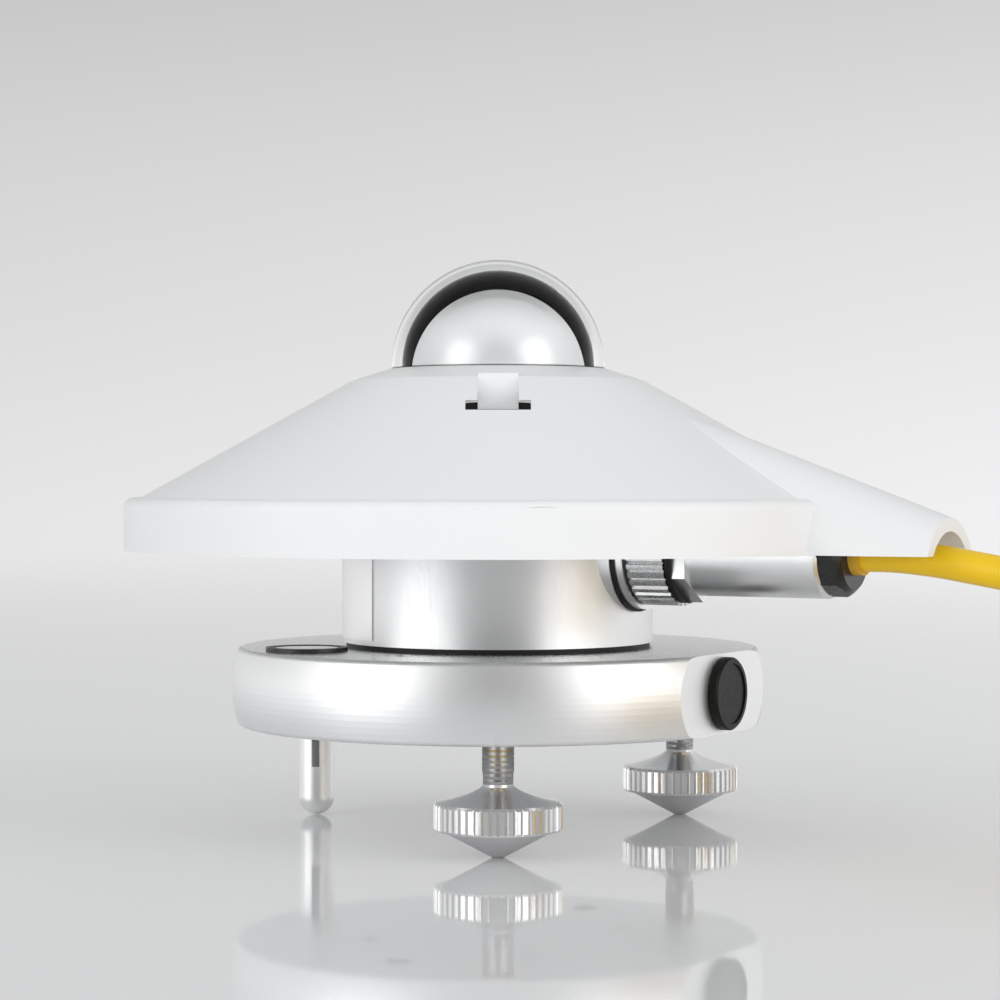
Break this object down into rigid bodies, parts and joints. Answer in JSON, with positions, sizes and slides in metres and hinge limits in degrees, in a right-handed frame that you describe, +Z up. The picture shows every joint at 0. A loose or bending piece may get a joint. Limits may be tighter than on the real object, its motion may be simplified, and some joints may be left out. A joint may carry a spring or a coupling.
{
  "type": "pyranometer",
  "caption": "Pyranometer: a black thermopile under nested glass domes, on a round metal body with a clip-on white sun shield, levelling feet, drying cartridge and plugged signal cable.",
  "frame": {"origin": "centre of the base's underside, midway between the two mounting holes", "axes": "+Z up through the domes; +X along the cable connector, the shield's spout and the drying cartridge; the two mounting holes lie on Y"},
  "size_m": [0.377, 0.15, 0.1145],
  "materials": {
    "base_metal": "fine matt, clear anodised",
    "seal_black": "matt",
    "housing_metal": "satin, clear anodised",
    "screw_steel": "satin",
    "label_bare": "satin, bare",
    "foot_metal": "satin",
    "bush_brass": "turned",
    "level_black": "matt black",
    "level_glass": "clear",
    "level_fluid": "clear yellow-green",
    "level_air": "clear",
    "dome_ring_black": "black anodised",
    "outer_glass": "polished",
    "ring_metal": "satin turned",
    "inner_glass": "polished",
    "sensor_white": "matt white",
    "thermopile_ceramic": "matt ceramic",
    "detector_black": "deep matt black",
    "board_green": "satin",
    "component_black": "matt",
    "connector_metal": "satin nickel",
    "insert_black": "matt",
    "contact_gold": "bright",
    "shield_white": "satin white",
    "cartridge_clear": "translucent",
    "gel_orange": "translucent beads",
    "cap_black": "matt black",
    "plug_metal": "satin nickel",
    "nut_metal": "knurled",
    "gland_black": "matt black",
    "bush_amber": "matt amber",
    "cable_yellow": "satin yellow",
    "lead_plastic": "gloss insulation, one colour a lead",
    "ferrule_tin": "tinned",
    "pad_metal": "satin",
    "knob_steel": "knurled, bright",
    "stud_steel": "threaded"
  },
  "bodies": {
    "instrument": {"base_plate": "base_metal", "base_gasket": "seal_black", "housing": "housing_metal", "housing_screws": "screw_steel", "label_plate": "label_bare", "fixed_foot": "foot_metal", "foot_bushes": "bush_brass", "level_frame": "level_black", "level_window": "level_glass", "level_liquid": "level_fluid", "level_bubble": "level_air", "dome_ring": "dome_ring_black", "dome_seal": "seal_black", "dome_ring_screws": "screw_steel", "outer_dome": "outer_glass", "inner_dome_ring": "ring_metal", "inner_dome": "inner_glass", "sensor_body": "ring_metal", "detector_ring": "sensor_white", "thermopile": "thermopile_ceramic", "detector_disc": "detector_black", "circuit_board": "board_green", "board_components": "component_black", "board_standoffs": "bush_brass", "connector_socket": "connector_metal", "socket_gasket": "seal_black", "socket_nut": "connector_metal", "socket_insert": "insert_black", "socket_pins": "contact_gold"},
    "sun_shield": {"sun_shield": "shield_white"},
    "cartridge": {"cartridge_tube": "cartridge_clear", "silica_gel": "gel_orange", "cartridge_seal": "seal_black"},
    "cartridge_cap": {"cartridge_cap": "cap_black"},
    "plug": {"plug_barrel": "plug_metal", "plug_insert": "insert_black", "plug_seal": "seal_black", "gland_nut": "gland_black", "cable_bush": "bush_amber", "cable": "cable_yellow", "cable_coil": "cable_yellow", "cable_tail": "cable_yellow", "cable_sleeve": "seal_black", "cable_leads": "lead_plastic", "lead_ferrules": "ferrule_tin"},
    "coupling_nut": {"coupling_nut": "nut_metal"},
    "front_foot_pad": {"front_foot_pad": "pad_metal"},
    "front_foot_knob": {"front_foot_knob": "knob_steel", "front_foot_stud": "stud_steel"},
    "right_foot_pad": {"right_foot_pad": "pad_metal"},
    "right_foot_knob": {"right_foot_knob": "knob_steel", "right_foot_stud": "stud_steel"}
  },
  "joints": [
    {"name": "shield_lift", "type": "slide", "parent": "instrument", "child": "sun_shield", "axis": [0, 0, 1], "range_m": [0, 0.06]},
    {"name": "cartridge_pull", "type": "slide", "parent": "instrument", "child": "cartridge", "axis": [1, 0, 0], "range_m": [0, 0.055]},
    {"name": "cap_turn", "type": "hinge", "parent": "cartridge", "child": "cartridge_cap", "pos_m": [0.05, 0, 0.00775], "axis": [1, 0, 0], "continuous": true},
    {"name": "plug_pull", "type": "slide", "parent": "instrument", "child": "plug", "axis": [1, 0, 0], "range_m": [0, 0.01]},
    {"name": "coupling_nut_turn", "type": "hinge", "parent": "plug", "child": "coupling_nut", "pos_m": [0.037, 0, 0.0348], "axis": [1, 0, 0], "continuous": true},
    {"name": "front_foot_lift", "type": "slide", "parent": "instrument", "child": "front_foot_pad", "axis": [0, 0, 1], "range_m": [-0.005, 0.005]},
    {"name": "front_foot_turn", "type": "hinge", "parent": "front_foot_pad", "child": "front_foot_knob", "pos_m": [0.022, -0.03811, 0], "axis": [0, 0, 1], "range_deg": [-1836, 1836]},
    {"name": "right_foot_lift", "type": "slide", "parent": "instrument", "child": "right_foot_pad", "axis": [0, 0, 1], "range_m": [-0.005, 0.005]},
    {"name": "right_foot_turn", "type": "hinge", "parent": "right_foot_pad", "child": "right_foot_knob", "pos_m": [0.022, 0.03811, 0], "axis": [0, 0, 1], "range_deg": [-1836, 1836]}
  ],
  "couplings": [
    {"joint": "front_foot_turn", "follows": "front_foot_lift", "rad_per_m": 6283.2},
    {"joint": "right_foot_turn", "follows": "right_foot_lift", "rad_per_m": 6283.2}
  ]
}
